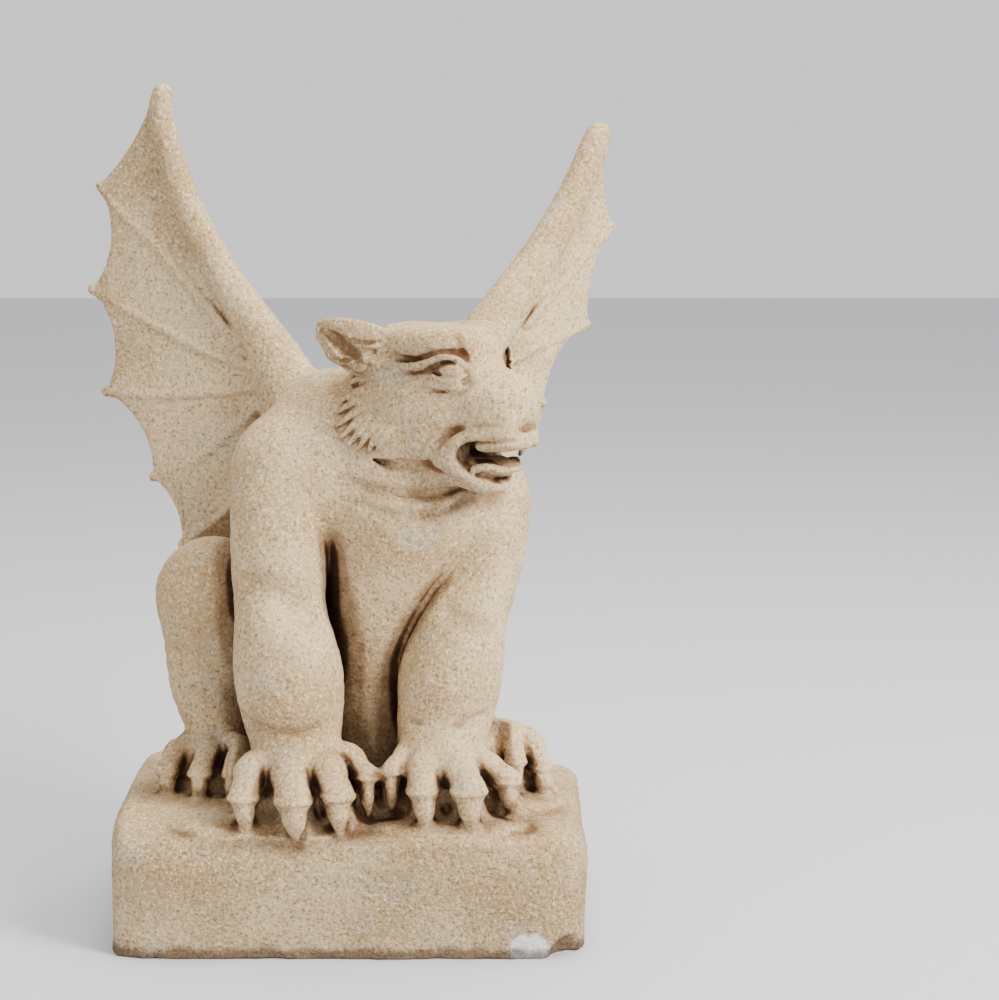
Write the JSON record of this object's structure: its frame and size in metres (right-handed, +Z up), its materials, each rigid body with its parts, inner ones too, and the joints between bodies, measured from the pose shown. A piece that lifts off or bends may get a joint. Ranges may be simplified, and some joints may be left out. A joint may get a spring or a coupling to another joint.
{
  "type": "gargoyle statue",
  "caption": "Crouching winged beast with an open fanged mouth and clawed feet on a block plinth, cast in one piece of stone, for a roof, wall head or garden.",
  "frame": {"origin": "middle of the plinth's flat underside, on the surface that it stands on", "axes": "+Z up, chest and forepaws towards -Y, the head turned towards +X, wings to -X and +X"},
  "size_m": [0.5326, 0.4273, 0.8001],
  "materials": {
    "stone": "weathered sandy cast stone, warm beige, brown patina in the hollows"
  },
  "bodies": {
    "root": {"gargoyle": "stone"}
  },
  "joints": []
}
